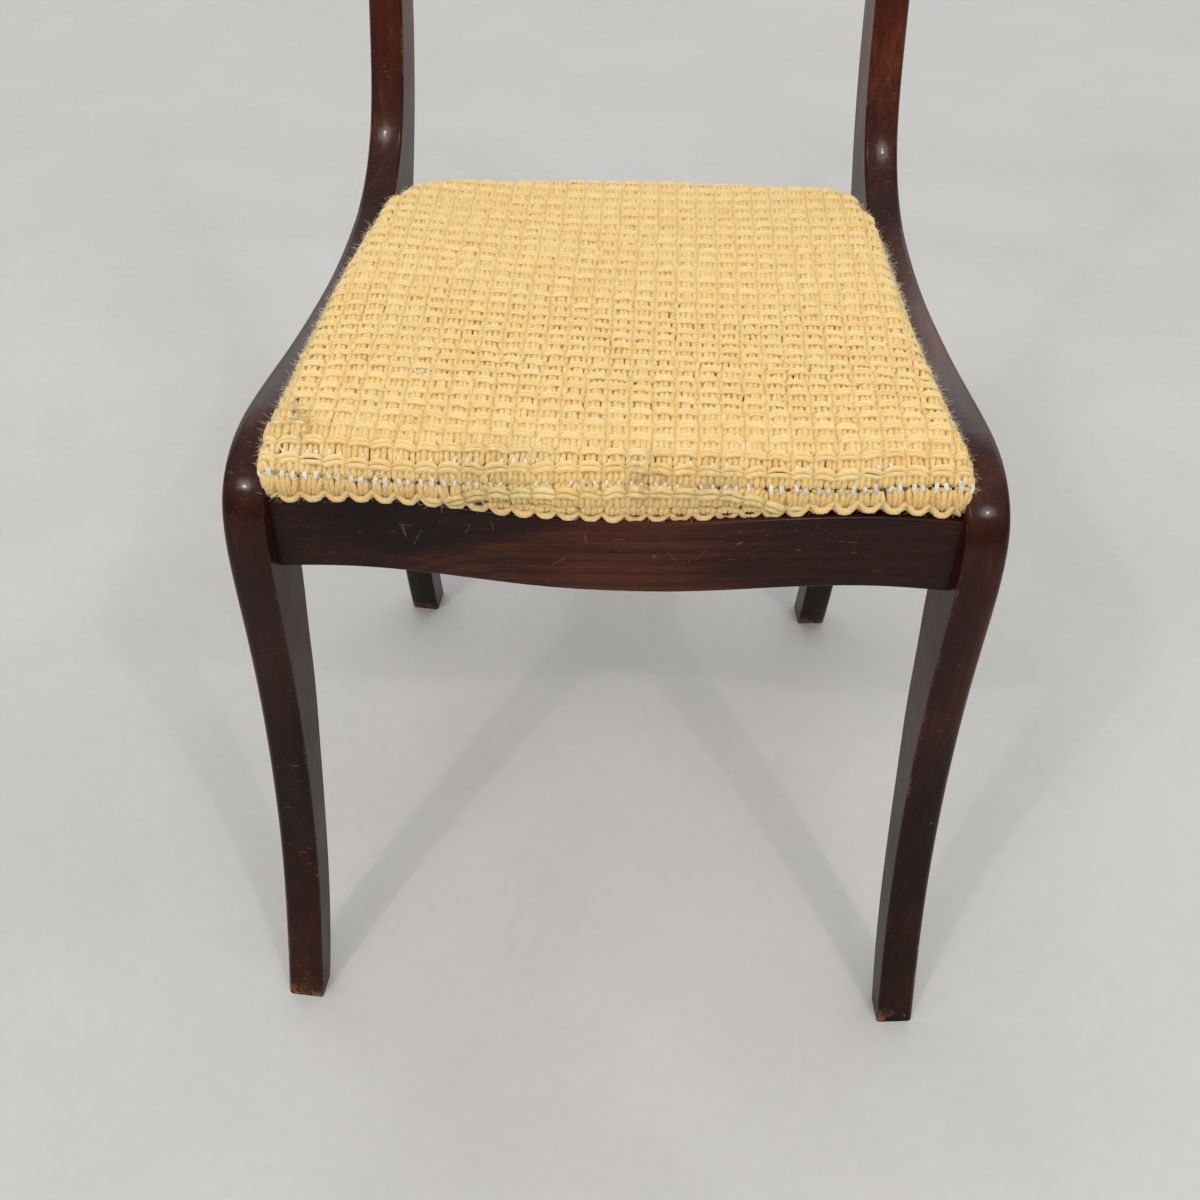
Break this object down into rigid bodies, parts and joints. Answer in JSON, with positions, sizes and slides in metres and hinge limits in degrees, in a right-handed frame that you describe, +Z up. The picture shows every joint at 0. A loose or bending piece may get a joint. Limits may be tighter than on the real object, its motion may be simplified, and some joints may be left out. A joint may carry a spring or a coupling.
{
  "type": "dining side chair",
  "caption": "Carved wooden side chair with sabre legs, dipped side rails, a serpentine front rail, wavy back rails and a crowned drop-in seat in a chunky crocheted cover.",
  "frame": {"origin": "on the floor, under the middle of the chair's box", "axes": "+Z up, the front of the chair faces -Y, +X to the right seen from the front"},
  "size_m": [0.4734, 0.5783, 0.8475],
  "materials": {
    "show_wood": "dark reddish-brown polished hardwood, worn at the arrises",
    "pale_hardwood": "unfinished secondary hardwood",
    "dowel_wood": "plain birch dowel",
    "screw_steel": "plain steel wood screw",
    "tack_steel": "blued steel tack",
    "jute_webbing": "woven jute",
    "hessian": "open-weave hessian",
    "cotton_stuffing": "cotton felt stuffing",
    "lining": "plain brown cotton lining",
    "yarn_cover": "yellow-gold chunky yarn with white warp threads"
  },
  "bodies": {
    "frame": {"corner_block_front_left": "pale_hardwood", "corner_block_front_right": "pale_hardwood", "corner_block_rear_left": "pale_hardwood", "corner_block_rear_right": "pale_hardwood", "corner_block_screws": "screw_steel", "crest_rail": "show_wood", "crest_rail_dowels": "dowel_wood", "cross_rail": "show_wood", "cross_rail_dowels": "dowel_wood", "front_leg_left": "show_wood", "front_leg_right": "show_wood", "front_rail": "show_wood", "front_rail_dowels": "dowel_wood", "leg_to_side_rail_dowels": "dowel_wood", "rear_rail": "show_wood", "rear_rail_dowels": "dowel_wood", "rear_stile_left": "show_wood", "rear_stile_right": "show_wood", "side_rail_left": "show_wood", "side_rail_right": "show_wood", "side_rail_to_stile_dowels": "dowel_wood"},
    "seat": {"hessian_sheet": "hessian", "lining_cloth": "lining", "seat_cover": "yarn_cover", "seat_frame_back": "pale_hardwood", "seat_frame_dowels": "dowel_wood", "seat_frame_front": "pale_hardwood", "seat_frame_left": "pale_hardwood", "seat_frame_right": "pale_hardwood", "seat_pad": "cotton_stuffing", "webbing_front_to_back": "jute_webbing", "webbing_side_to_side": "jute_webbing", "webbing_tacks": "tack_steel"}
  },
  "joints": [
    {"name": "seat_lift", "type": "slide", "parent": "frame", "child": "seat", "axis": [0, 0, 1], "range_m": [0, 0.15]}
  ]
}
